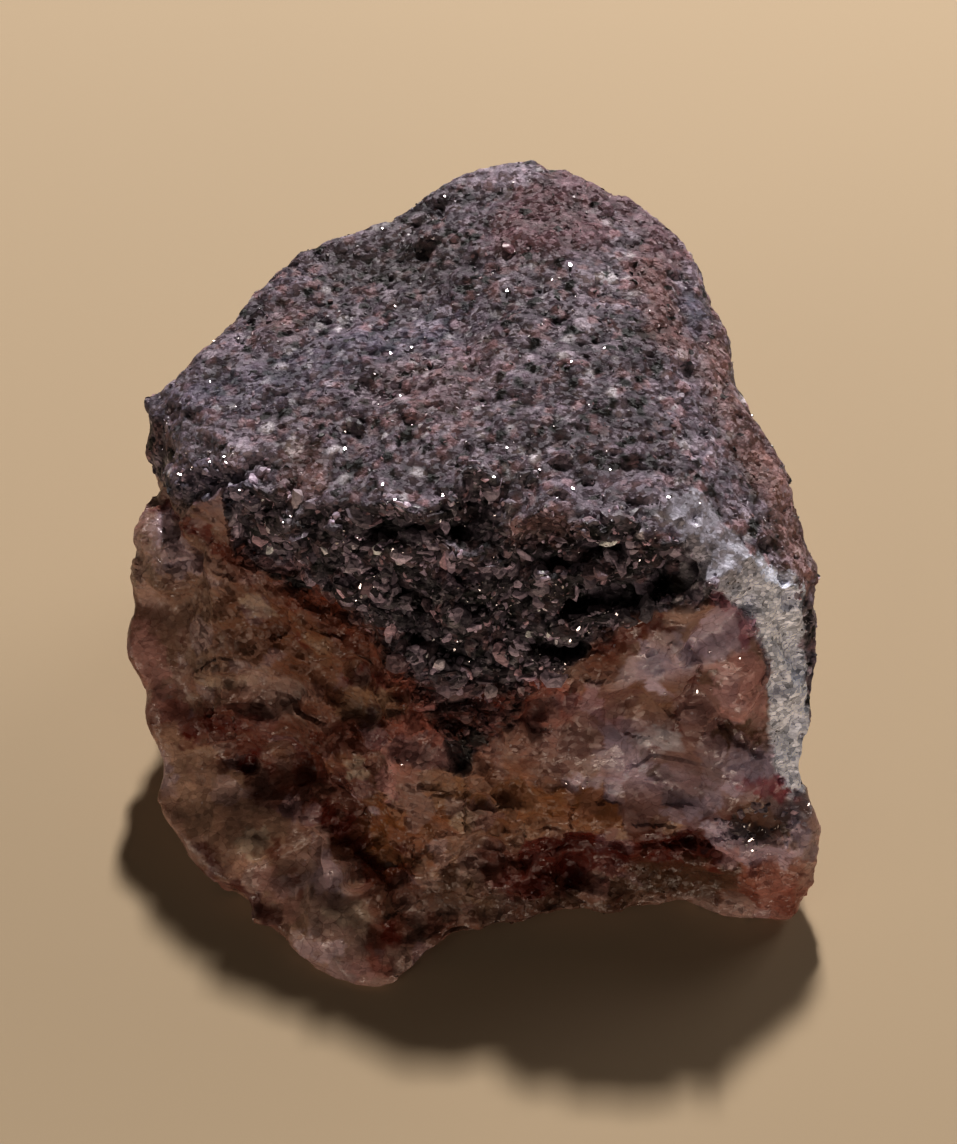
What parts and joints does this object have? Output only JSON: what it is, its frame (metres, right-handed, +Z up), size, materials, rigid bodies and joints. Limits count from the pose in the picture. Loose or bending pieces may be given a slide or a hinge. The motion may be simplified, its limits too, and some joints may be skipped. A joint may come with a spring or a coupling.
{
  "type": "rough quartz stone",
  "caption": "Rough hand-sized lump of milky, pink-stained quartz with a dark granular crust over its top, resting on its flat underside.",
  "frame": {"origin": "on the ground, under the centre of the stone's bounding box", "axes": "+Z up; the broken front faces -Y and the high crest is at +Y; +X is to the right seen from the front"},
  "size_m": [0.0542, 0.058, 0.0343],
  "materials": {
    "stone": "rough, with small glassy faces"
  },
  "bodies": {
    "root": {"quartz_stone": "stone"}
  },
  "joints": []
}
